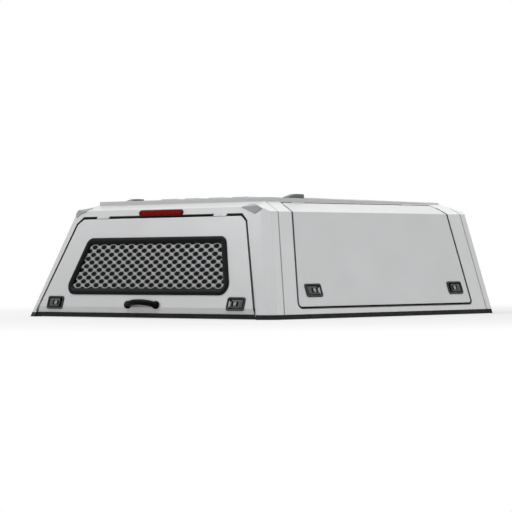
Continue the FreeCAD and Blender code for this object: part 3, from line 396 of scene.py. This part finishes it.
def screen_cell(shape, x, s, hole_x, hole_y):
    """One diamond cell at x and s on the rear face, round a hole of those two halves."""
    cell_corners = [(MESH_PITCH_X / 2, 0), (0, MESH_PITCH_Y / 2), (-MESH_PITCH_X / 2, 0),
                    (0, -MESH_PITCH_Y / 2)]
    hole_corners = [(hole_x, 0), (0, hole_y), (-hole_x, 0), (0, -hole_y)]

    def spread(corners, blunt, z):
        """Eight points that cut each corner of a diamond off by a share of its sides."""
        ring = []
        for i in range(4):
            start, end = Vector(corners[i]), Vector(corners[(i + 1) % 4])
            for share in (blunt, 1 - blunt):
                place = start.lerp(end, share)
                ring.append(shape.verts.new((x + place.x, s + place.y, z)))
        return ring

    layers = []
    for outer_z, inner_z in ((-0.0003, -0.0012), (-0.0027, -0.0027)):
        tips = [shape.verts.new((x + corner[0], s + corner[1], outer_z)) for corner in cell_corners]
        layers.append((tips, spread(cell_corners, 0.2, outer_z),
                       spread(hole_corners, 0.24, inner_z)))
    for tips, outer, inner in layers:
        for i in range(4):
            a, b = 2 * i, 2 * i + 1
            # Strand sides take the second, darker material as painted shade; the faces at the crossings
            # keep the lighter one as a painted highlight.
            shape.faces.new((outer[a], outer[b], inner[b], inner[a])).material_index = 1
            shape.faces.new((outer[a - 1], tips[i], outer[a], inner[a], inner[a - 1]))
    front, back = layers[0][2], layers[1][2]
    # The hole walls take the darker material too: painted shade.
    for i in range(8):
        shape.faces.new((front[i - 1], front[i], back[i], back[i - 1])).material_index = 1


shape = bmesh.new()
half_diagonal = math.hypot(MESH_PITCH_X, MESH_PITCH_Y) / 2
hole_x = MESH_PITCH_X / 2 - MESH_STRAND * half_diagonal / MESH_PITCH_Y
hole_y = MESH_PITCH_Y / 2 - MESH_STRAND * half_diagonal / MESH_PITCH_X
middle = (WINDOW_TOP + WINDOW_FOOT) / 2
for row in range(-MESH_ROWS, MESH_ROWS + 1):
    for column in range(-MESH_COLUMNS, MESH_COLUMNS + 1):
        x = (column + (row % 2) / 2) * MESH_PITCH_X
        screen_cell(shape, x, middle + row * MESH_PITCH_Y / 2, hole_x, hole_y)
bmesh.ops.remove_doubles(shape, verts=shape.verts, dist=0.00001)
border = window_outline(-MESH_EDGE, 4)
for i in range(len(border)):
    start, end = border[i - 1], border[i]
    if (end - start).length > 0.0001:
        across = end - start
        bmesh.ops.bisect_plane(shape, geom=shape.verts[:] + shape.edges[:] + shape.faces[:],
                               plane_co=(start.x, start.y, 0), plane_no=(across.y, -across.x, 0),
                               clear_outer=True)
screen = add_piece("window_screen", shape, [REAR], "rear_door", "mesh_steel", 12.0)
# Second material, the darker copy of the steel: painted shade on the strands and hole walls.
screen.data.materials.append(MATERIALS["mesh_strand_shade"])
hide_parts("rear_window_mesh")


# Latches: a moulded housing with a dish, a crowned paddle with a lock barrel


def latch_housing():
    """Housing with a rolled rim and a dish that the paddle lies in."""
    shape = bmesh.new()
    profile = [(0.0095, -0.0240), (0.0080, -0.0225), (0.0080, 0.0), (0.0004, 0.0), (0.0, 0.0006),
               (0.0, 0.0022), (0.0006, 0.0034), (0.0018, 0.0040), (0.0062, 0.0040),
               (0.0074, 0.0036), (0.0086, 0.0022), (DISH_INSET, 0.0), (0.0098, -0.0040),
               (0.0112, -0.0150), (0.0135, -0.0190), (0.0170, -0.0210), (0.0230, -0.0215)]
    rings = []
    for inset, z in profile:
        radius = max(LATCH_RADIUS - inset * 0.35, 0.003)
        rings.append(at_height(rectangle(LATCH_HALF - inset, LATCH_RISE - inset, radius), z))
    loft(shape, rings)
    return shape


def latch_paddle():
    """Crowned plate on the pin at its +X end."""
    shape = bmesh.new()
    free = PADDLE_PIN_X - PADDLE_LENGTH
    centre = (free + PADDLE_PIN_X) / 2
    half = PADDLE_LENGTH / 2
    profile = [(0.0016, -0.0016), (0.0004, -0.0010), (0.0, 0.0), (0.0004, 0.0010), (0.0016, 0.0018),
               (0.0050, 0.0023), (0.0100, 0.0026), (0.0150, 0.0027)]
    rings = [at_height(rectangle(half - inset, PADDLE_RISE - inset, 0.006, (centre, 0.0)), z)
             for inset, z in profile]
    loft(shape, rings)
    return shape


def turned(shape, x, y, profile, steps=28):
    """Round boss about an axis through x, y, from (radius, height) pairs."""
    rings = []
    for radius, z in profile:
        ring = []
        for i in range(steps):
            angle = 2 * math.pi * i / steps
            ring.append((x + radius * math.cos(angle), y + radius * math.sin(angle), z))
        rings.append(ring)
    loft(shape, rings)


def lock_recess_shade():
    """Two upright dark ovals, one on each side of the lock barrel: painted shade of the recess round the
    barrel.
    """
    shape = bmesh.new()
    profile = ((0.0, 0.0022), (0.0, 0.0031), (0.0006, 0.0034), (0.0012, 0.0031), (0.0030, 0.0028))
    for side in (-1, 1):
        middle = (LOCK_X + side * SCOOP_SPACING, 0.0)
        loft(shape, [at_height(rectangle(SCOOP_HALF - inset, SCOOP_RISE - inset, SCOOP_HALF, middle, 6), z)
                     for inset, z in profile])
    return shape


def lock_barrel():
    """Stepped round barrel that stands between the scoops."""
    shape = bmesh.new()
    turned(shape, LOCK_X, 0.0, [(0.0088, 0.0024), (0.0088, 0.0036), (0.0082, 0.0042), (0.0074, 0.0042),
                                (0.0070, 0.0037), (0.0066, 0.0037), (0.0062, 0.0040), (0.0040, 0.0040)])
    return shape


def key_slot():
    """Narrow upright black bar that shows as the barrel's slot: painted shade in the slot."""
    shape = bmesh.new()
    rings = [at_height(rectangle(0.0009, 0.0042, 0.0006, (LOCK_X, 0.0), 3), z) for z in (0.0036, 0.0042)]
    loft(shape, rings)
    return shape


def dish_highlight():
    """Pale crescent on the end wall of the dish, beyond the paddle's free end: a painted highlight where
    the lit end wall shows.
    """
    shape = bmesh.new()
    wall = LATCH_HALF - DISH_INSET
    profile = ((0.0, -0.0005), (0.30, -0.0008), (0.75, -0.0050), (1.0, -0.0120), (0.0, -0.0140))
    rings = []
    steps = 16
    for i in range(steps + 1):
        share = 2 * i / steps - 1
        reach = CRESCENT_ENDS + CRESCENT_BULGE * (1 - share * share)
        rings.append([(-wall + reach * part, share * CRESCENT_RISE, z) for part, z in profile])
    loft(shape, rings)
    return shape


def grip_lip():
    """Curved lip at the paddle's free end."""
    shape = bmesh.new()
    free = PADDLE_PIN_X - PADDLE_LENGTH
    rings = []
    steps = 12
    for i in range(steps + 1):
        share = 2 * i / steps - 1
        x = free + 0.0035 + 0.0055 * share * share
        y = share * LIP_RISE
        wide = 0.0012 * (1.25 - share * share)
        ring = []
        for corner in range(8):
            angle = math.pi * corner / 4
            ring.append((x + wide * math.cos(angle), y, 0.0024 + 0.0010 * math.sin(angle)))
        rings.append(ring)
    loft(shape, rings)
    return shape


def at_latch(base, across, up, facing):
    """Place of a latch on a face, with its pin toward +X or, facing -1, toward -X."""
    flip = Matrix.Diagonal((facing, 1, 1, 1))
    return base @ Matrix.Translation((across, up, 0)) @ flip


def add_paddle(word, matrix, body):
    """The pieces of one paddle, which ride on its body."""
    plate = add_piece("paddle_" + word, latch_paddle(), [matrix], body, "paddle_grey")
    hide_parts(body)
    add_piece("paddle_lip_" + word, grip_lip(), [matrix], body, "paddle_grey")
    # Near-black ovals beside the barrel: painted shade of the lock recess.
    add_piece("lock_recess_shade_" + word, lock_recess_shade(), [matrix], body, "gloss_plastic")
    add_piece("lock_barrel_" + word, lock_barrel(), [matrix], body, "lock_metal")
    # Black bar on the barrel: painted shade in the key slot.
    add_piece("key_slot_" + word, key_slot(), [matrix], body, "gloss_plastic")


rear_places = {"right": at_latch(REAR, REAR_LATCH[0], REAR_LATCH[1], 1),
               "left": at_latch(REAR, -REAR_LATCH[0], REAR_LATCH[1], -1)}
rear_housings = add_piece("rear_latch_mouldings", latch_housing(), list(rear_places.values()), "rear_door",
                          "black_plastic")
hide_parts("rear_latch_housings")
# Pale crescents on the dish end walls: a painted highlight.
add_piece("rear_latch_highlights", dish_highlight(), list(rear_places.values()), "rear_door",
          "striker_zinc")
for word, place in rear_places.items():
    add_paddle("rear_" + word, place, "rear_latch_paddle_" + word)
for word, turn in (("right", IN_PLACE), ("left", MIRROR)):
    side_places = {}
    for end, (y, facing) in SIDE_LATCHES.items():
        side_places[end] = turn @ at_latch(SIDE, y, SIDE_LATCH_RISE, facing)
    housings = add_piece("side_latch_mouldings_" + word, latch_housing(), list(side_places.values()),
                         "side_door_" + word, "black_plastic")
    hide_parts("side_latch_housings_" + word)
    # Pale crescents on the dish end walls: a painted highlight.
    add_piece("side_latch_highlights_" + word, dish_highlight(), list(side_places.values()),
              "side_door_" + word, "striker_zinc")
    for end, place in side_places.items():
        add_paddle("side_" + word + "_" + end, place, "side_latch_paddle_" + word + "_" + end)


# Pull handle: an arched bow whose ends flow into round feet


def pull_handle():
    """Bow that is flat along its top, with a domed round foot at each end."""
    shape = bmesh.new()
    rise = Vector((0, HANDLE_BOW - HANDLE_FOOT, HANDLE_STANDOFF - HANDLE_RADIUS * 0.4))
    foot = Vector((0, HANDLE_FOOT, HANDLE_RADIUS * 0.4))
    across = Vector((1, 0, 0))
    steps = 48

    def place(share):
        """Centre of the bow, at a share of its half length."""
        return foot + across * HANDLE_HALF * share + rise * (1 - abs(share) ** HANDLE_ARCH)

    rings = []
    for i in range(steps + 1):
        share = math.sin(math.pi / 2 * (2 * i / steps - 1))
        along = (place(min(share + 0.01, 1)) - place(max(share - 0.01, -1))).normalized()
        up = (rise - along * rise.dot(along)).normalized()
        side = along.cross(up)
        ring = []
        for corner in range(24):
            turn = 2 * math.pi * corner / 24
            ring.append(place(share) + up * math.cos(turn) * HANDLE_RADIUS
                        + side * math.sin(turn) * HANDLE_RADIUS * HANDLE_WIDENING)
        rings.append(ring)
    loft(shape, rings)
    for x in (-HANDLE_HALF, HANDLE_HALF):
        profile = [(0.0186, -0.002), (0.0190, 0.004), (0.0188, 0.0080), (0.0176, 0.0118),
                   (0.0148, 0.0146), (0.0100, 0.0162), (0.0050, 0.0168)]
        turned(shape, x, HANDLE_FOOT, profile, 40)
    return shape


handle = add_piece("pull_handle_moulding", pull_handle(), [REAR], "rear_door",
                   "gloss_plastic")
merge = handle.modifiers.new("merge", "REMESH")
merge.mode = "VOXEL"
merge.voxel_size = 0.0012
merge.use_smooth_shade = True
soften = handle.modifiers.new("soften", "SMOOTH")
soften.factor = 0.5
soften.iterations = 10
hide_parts("pull_handle")


# Brake light: a domed lens in a thin bezel

shape = bmesh.new()
profile = [(0.0015, 0.0028), (0.0015, 0.0052), (0.0019, 0.0064), (0.0030, 0.0074), (0.0050, 0.0079),
           (0.0090, 0.0080)]
middle = (0.0, LAMP_CENTRE)
loft(shape, [at_height(rectangle(LAMP_HALF - inset, LAMP_RISE - inset, LAMP_RISE, middle, 10), z)
             for inset, z in profile])
lens = add_piece("brake_light_cover", shape, [REAR], "shell", "red_lens")
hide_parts("brake_light_lens")


# Rubber trim on the shell's edge round each door

side_out = Vector((1, 0, SIDE_SLOPE)).normalized()
bevel_out = Vector((SHOULDER_Z - BEND_Z, 0, BEND_HALF - SHOULDER_HALF)).normalized()
bend_out = (side_out + bevel_out).normalized()


def trim(shape, inner, outer, outs):
    """Trim between two lines on the shell, the inner one at the gap, that hooks into the gap."""
    rings = []
    for near, far, out in zip(inner, outer, outs):
        rings.append([near - out * 0.0026, near + out * 0.0005, near.lerp(far, 0.15) + out * 0.0010,
                      near.lerp(far, 0.85) + out * 0.0010, far + out * 0.0004, far - out * 0.0002])
    loft(shape, rings)


def rear_door_corners(grow):
    """Foot, slanted corner and top of the rear door's right edge, grown by a margin."""
    narrowing = (REAR_DOOR_FOOT_HALF - REAR_DOOR_TOP_HALF) / (REAR_DOOR_TOP - REAR_DOOR_FOOT)
    margin = grow * math.hypot(1, narrowing)
    corner = REAR_DOOR_CORNER + grow * (2 - math.sqrt(2))
    top = REAR_DOOR_TOP + grow
    return [Vector((REAR_DOOR_FOOT_HALF + margin, REAR_DOOR_FOOT, 0)),
            Vector((REAR_DOOR_TOP_HALF + narrowing * (corner - grow) + margin, top - corner, 0)),
            Vector((REAR_DOOR_TOP_HALF + margin - corner, top, 0)),
            Vector((REAR_HINGE_X + HINGE_HALF + 0.001, top, 0))]


def side_door_line(grow):
    """Edge of the right side door grown by a margin, from its rear top round to its front top."""
    foot = SIDE_DOOR_SILL - grow
    top = SHOULDER_Z + (grow - 0.010) * bevel_out.x
    rear, front = SIDE_DOOR_REAR - grow, SIDE_DOOR_FRONT + grow
    corners = [(rear + REAR_SLOPE * foot, foot), (front, foot), (front, top),
               (rear + REAR_SLOPE * top, top)]
    corner = SIDE_DOOR_CORNER + grow
    turns = rounded(corners, [corner, corner, SIDE_DOOR_TOP_CORNER + grow, 0.001], 12)
    line = [Vector((rear + REAR_SLOPE * z, z)) for z in (SIDE_TRIM_TOP, BEND_Z)] + turns[:33]
    placed = []
    narrowing = (BEND_HALF - SHOULDER_HALF) / (SHOULDER_Z - BEND_Z)
    for y, z in line:
        x = BASE_HALF - SIDE_SLOPE * z
        if z > BEND_Z:
            x = BEND_HALF - (z - BEND_Z) * narrowing
        placed.append(Vector((x, REAR_Y + y, z)))
    return placed


shape = bmesh.new()
inner = rear_door_corners(DOOR_GAP - TRIM_TUCK)
outer = rear_door_corners(DOOR_GAP + TRIM_WIDTH)
outer[0].x = inner[0].x + TRIM_WIDTH * 0.4
outer[1].x = inner[1].x + TRIM_WIDTH * 0.5
flat = Vector((0, 0, 1))
trim(shape, inner, outer, [flat] * 4)
across = Vector((-1, 1, 1))
trim(shape, [point * across for point in inner], [point * across for point in outer], [flat] * 4)
near_hinge = REAR_HINGE_X - HINGE_HALF - 0.001
trim(shape, [Vector((x, inner[2].y, 0)) for x in (-near_hinge, near_hinge)],
     [Vector((x, outer[2].y, 0)) for x in (-near_hinge, near_hinge)], [flat] * 2)
add_piece("rear_opening_trim", shape, [REAR], "shell", "black_rubber")

shape = bmesh.new()
inner = side_door_line(DOOR_GAP - TRIM_TUCK)
outer = side_door_line(DOOR_GAP + SIDE_TRIM_WIDTH)
outs = []
for point in inner:
    if abs(point.z - BEND_Z) < 0.001:
        outs.append(bend_out)
    else:
        outs.append(side_out if point.z < BEND_Z else bevel_out)
trim(shape, inner, outer, outs)
add_piece("side_opening_trims", shape, BOTH_SIDES, "shell", "worn_rubber")


# Roof tracks: a slotted rail behind a ramped end cap


def roof_z(y):
    """Height of the roof, which falls toward the front."""
    share = (y - ROOF_REAR) / (ROOF_FRONT - ROOF_REAR)
    return ROOF_REAR_Z + (ROOF_FRONT_Z - ROOF_REAR_Z) * share


def track_ring(y, profile):
    """Section of the right track, on the roof at y."""
    return [(TRACK_X + x, REAR_Y + y, roof_z(y) + z) for x, z in profile]


right_half = [(TRACK_HALF, 0.0), (TRACK_HALF, TRACK_HEIGHT - 0.0008), (TRACK_HALF - 0.0008, TRACK_HEIGHT),
              (0.0066, TRACK_HEIGHT), (0.0058, TRACK_HEIGHT - 0.0006), (0.0058, 0.0008)]
profile = right_half + [(-x, z) for x, z in reversed(right_half)]
shape = bmesh.new()
loft(shape, [track_ring(y, profile) for y in (TRACK_REAR + CAP_LENGTH - 0.004, TRACK_FRONT)])
tracks = add_piece("roof_track_rails", shape, BOTH_SIDES, "shell",
                   "anodised_aluminium")
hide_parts("roof_tracks")

shape = bmesh.new()
rings = []
sections = ((0.0, 0.0016, 0.004), (0.004, 0.0040, 0.0015), (0.012, 0.0066, 0.0), (0.030, 0.0118, 0.0),
            (0.046, 0.0166, 0.0), (0.054, 0.0186, 0.0), (0.062, 0.0197, 0.0), (0.072, CAP_HEIGHT, 0.0),
            (CAP_LENGTH - 0.004, CAP_HEIGHT, 0.0), (CAP_LENGTH - 0.001, CAP_HEIGHT - 0.001, 0.001),
            (CAP_LENGTH, CAP_HEIGHT - 0.003, 0.002))
for along, height, inset in sections:
    half = TRACK_HALF - inset
    turn = min(0.004, height * 0.6)
    side = [(half, 0.0), (half, height - turn), (half - turn * 0.3, height - turn * 0.3),
            (half - turn, height)]
    rings.append(track_ring(TRACK_REAR + along, side + [(-x, z) for x, z in reversed(side)]))
loft(shape, rings)
add_piece("roof_track_caps", shape, BOTH_SIDES, "shell", "cap_plastic", 50.0)


# Corner plates: a lozenge of thin sheet draped over the joint of header, pillar and shoulder


def drape(point, along, planes):
    """Point where a line meets the convex shell that the planes bound, and the plane that it meets."""
    hits = [((origin - point).dot(normal) / along.dot(normal), normal) for origin, normal in planes]
    share, normal = max(hits, key=lambda hit: hit[0])
    return point + along * share, normal


creases = [Vector((x, REAR_Y + y, 0)) for x, y in PILLAR_CREASES]
edge_up = Vector((-SIDE_SLOPE, REAR_SLOPE, 1))
facet = (creases[1] - creases[0]).cross(edge_up).normalized()
shell_planes = [
    (creases[0], facet),
    (Vector((0, REAR_Y, 0)), Vector((0, -1, REAR_SLOPE)).normalized()),
    (creases[2], (creases[2] - creases[1]).cross(edge_up).normalized()),
    (Vector((BEND_HALF, 0, BEND_Z)), bevel_out),
    (Vector((0, REAR_Y + REAR_SLOPE * REAR_BREAK_Z, REAR_BREAK_Z)),
     Vector((0, REAR_BREAK_Z - SHOULDER_Z, REAR_SHOULDER_SETBACK)).normalized()),
    (Vector((0, 0, SHOULDER_Z)), Vector((0, 0, 1))),
]
plate_across = (creases[1] - creases[0]).normalized()
plate_up = facet.cross(plate_across)
plate_middle = (creases[0] + creases[1]) / 2 + edge_up * PLATE_Z
shape = bmesh.new()
steps = 36
layers = []
for lift in (0.0, PLATE_THICKNESS):
    rows = []
    for i in range(steps + 1):
        row = []
        for j in range(steps + 1):
            a, b = i / steps, j / steps
            near = PLATE_CORNERS[0].lerp(PLATE_CORNERS[1], a)
            flat = near.lerp(PLATE_CORNERS[3].lerp(PLATE_CORNERS[2], a), b)
            start = plate_middle + plate_across * flat.x + plate_up * flat.y + facet * 0.3
            place, normal = drape(start, -facet, shell_planes)
            row.append(shape.verts.new(place + normal * lift))
        rows.append(row)
    for i in range(steps):
        for j in range(steps):
            shape.faces.new((rows[i][j], rows[i + 1][j], rows[i + 1][j + 1], rows[i][j + 1]))
    layers.append(rows)
borders = []
for rows in layers:
    far_side, near_side = [row[-1] for row in rows[1:]], [row[0] for row in rows[-2:0:-1]]
    borders.append(rows[0] + far_side + rows[-1][-2::-1] + near_side)
low, high = borders
for i in range(len(low)):
    shape.faces.new((low[i - 1], low[i], high[i], high[i - 1]))
plates = add_piece("corner_plate_sheets", shape, BOTH_SIDES, "shell", "grey_plate", 12.0)
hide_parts("corner_plates")


# Sealant beads where the pillars and the front wall meet the side modules


def bead(points, across, outs):
    """Flat bead along points on the skin, with the side's outward direction at each."""
    shape = bmesh.new()
    rings = []
    for point, out in zip(points, outs):
        rings.append([point - across * SEAM_HALF, point - across * SEAM_CROWN + out * SEAM_LIFT,
                      point + across * SEAM_CROWN + out * SEAM_LIFT, point + across * SEAM_HALF])
    loft(shape, rings)
    return shape


def seam_points(start, slope, shoulder_half, shoulder_z):
    """Foot, bend and shoulder points of a seam on the right side, that leans forward by slope."""
    foot = Vector((BASE_HALF - SIDE_SLOPE * SEAL_HEIGHT, start + slope * SEAL_HEIGHT, SEAL_HEIGHT))
    bend = Vector((BEND_HALF, start + slope * BEND_Z, BEND_Z))
    shoulder = Vector((shoulder_half, start + slope * shoulder_z, shoulder_z))
    return [foot, bend, shoulder]


rear_seam = seam_points(REAR_Y + REAR_SEAM, REAR_SLOPE, SHOULDER_HALF, SHOULDER_Z)
front_seam = seam_points(REAR_Y + FRONT_SEAM, 0.0, FRONT_SEAM_HALF, FRONT_SEAM_Z)
for word, points in (("rear", rear_seam), ("front", front_seam)):
    add_piece("seam_bead_" + word, bead(points, Vector((0, 1, 0)), [side_out, bend_out, bevel_out]),
              BOTH_SIDES, "shell", "sealant")


# Floor, light and camera


def seen_rays(tree):
    """1 for the rays that see the background: from the camera, a reflection or through glass."""
    path = node(tree, "ShaderNodeLightPath")
    seen = path.outputs["Is Camera Ray"]
    for kind in ("Is Transmission Ray", "Is Glossy Ray"):
        either = node(tree, "ShaderNodeMath", operation="MAXIMUM")
        tree.links.new(seen, either.inputs[0])
        tree.links.new(path.outputs[kind], either.inputs[1])
        seen = either.outputs[0]
    return seen


def add_floor():
    """Pale floor that takes the shadow and turns white in the distance."""
    shape = bmesh.new()
    reach = 60
    corners = ((-reach, -reach, 0), (reach, -reach, 0), (reach, reach, 0), (-reach, reach, 0))
    shape.faces.new([shape.verts.new(point) for point in corners])
    mesh = bpy.data.meshes.new("floor")
    shape.to_mesh(mesh)
    shape.free()
    floor = bpy.data.objects.new("floor", mesh)
    bpy.context.scene.collection.objects.link(floor)
    material = bpy.data.materials.new("floor")
    material.use_nodes = True
    tree = material.node_tree
    shader = tree.nodes["Principled BSDF"]
    shader.inputs["Base Color"].default_value = (0.72, 0.72, 0.72, 1)
    shader.inputs["Roughness"].default_value = 0.8
    shader.inputs["Specular IOR Level"].default_value = 0.1
    lit = node(tree, "ShaderNodeEmission", Strength=1.0)
    distance = node(tree, "ShaderNodeVectorMath", operation="LENGTH")
    tree.links.new(node(tree, "ShaderNodeTexCoord").outputs["Object"], distance.inputs[0])
    near = node(tree, "ShaderNodeMapRange", interpolation_type="SMOOTHSTEP")
    for name, value in (("From Min", 1.1), ("From Max", 3.2), ("To Min", 0.5), ("To Max", 1.0)):
        near.inputs[name].default_value = value
    tree.links.new(distance.outputs["Value"], near.inputs["Value"])
    share = multiplied(tree, seen_rays(tree), near.outputs["Result"])
    mix = node(tree, "ShaderNodeMixShader")
    tree.links.new(share, mix.inputs[0])
    tree.links.new(shader.outputs[0], mix.inputs[1])
    tree.links.new(lit.outputs[0], mix.inputs[2])
    tree.links.new(mix.outputs[0], tree.nodes["Material Output"].inputs["Surface"])
    mesh.materials.append(material)


def add_world(ambient):
    """White background that lights the scene only by the ambient level."""
    world = bpy.data.worlds.new("studio")
    bpy.context.scene.world = world
    world.use_nodes = True
    tree = world.node_tree
    light = tree.nodes["Background"]
    light.inputs["Color"].default_value = (1, 1, 1, 1)
    light.inputs["Strength"].default_value = ambient
    white = node(tree, "ShaderNodeBackground", Strength=1.0)
    white.inputs["Color"].default_value = (1, 1, 1, 1)
    mix = node(tree, "ShaderNodeMixShader")
    tree.links.new(seen_rays(tree), mix.inputs[0])
    tree.links.new(light.outputs[0], mix.inputs[1])
    tree.links.new(white.outputs[0], mix.inputs[2])
    tree.links.new(mix.outputs[0], tree.nodes["World Output"].inputs["Surface"])


def add_softbox(name, azimuth, elevation, distance, size, power):
    """Square soft light that faces the object from a bearing round it."""
    a, e = math.radians(azimuth), math.radians(elevation)
    lamp = bpy.data.lights.new(name, "AREA")
    lamp.shape = "SQUARE"
    lamp.size = size
    lamp.energy = power
    obj = bpy.data.objects.new(name, lamp)
    back = Vector((math.sin(a) * math.cos(e), -math.cos(a) * math.cos(e), math.sin(e)))
    obj.location = Vector((0, 0, 0.3)) + back * distance
    obj.rotation_mode = "QUATERNION"
    obj.rotation_quaternion = back.to_track_quat("Z", "Y")
    obj.visible_camera = False
    bpy.context.scene.collection.objects.link(obj)


def add_camera():
    """Camera at the photograph's viewpoint, with a longer lens that is aimed at the canopy."""
    camera = bpy.data.cameras.new("camera")
    camera.sensor_width = CAMERA_SENSOR
    camera.lens = CAMERA_LENS
    camera.clip_end = 200
    obj = bpy.data.objects.new("camera", camera)
    bpy.context.scene.collection.objects.link(obj)
    obj.location = CAMERA_PLACE
    forward = (Vector(CAMERA_TARGET) - obj.location).normalized()
    right = forward.cross(Vector((0, 0, 1))).normalized()
    up = right.cross(forward)
    roll = math.radians(CAMERA_ROLL)
    level = right * math.cos(roll) + up * math.sin(roll)
    upright = up * math.cos(roll) - right * math.sin(roll)
    obj.rotation_mode = "QUATERNION"
    obj.rotation_quaternion = Matrix((level, upright, -forward)).transposed().to_quaternion()
    bpy.context.scene.camera = obj


add_floor()
add_world(0.06)
add_softbox("overhead", 0, 85, 6.0, 10.0, 360)
add_softbox("rear_fill", -39, 50, 6.0, 4.5, 180)
add_softbox("side_fill", 130, 26, 6.0, 4.5, 50)
add_softbox("back_fill", 200, 45, 6.0, 5.0, 65)
add_camera()
bpy.context.scene.view_settings.view_transform = "Standard"
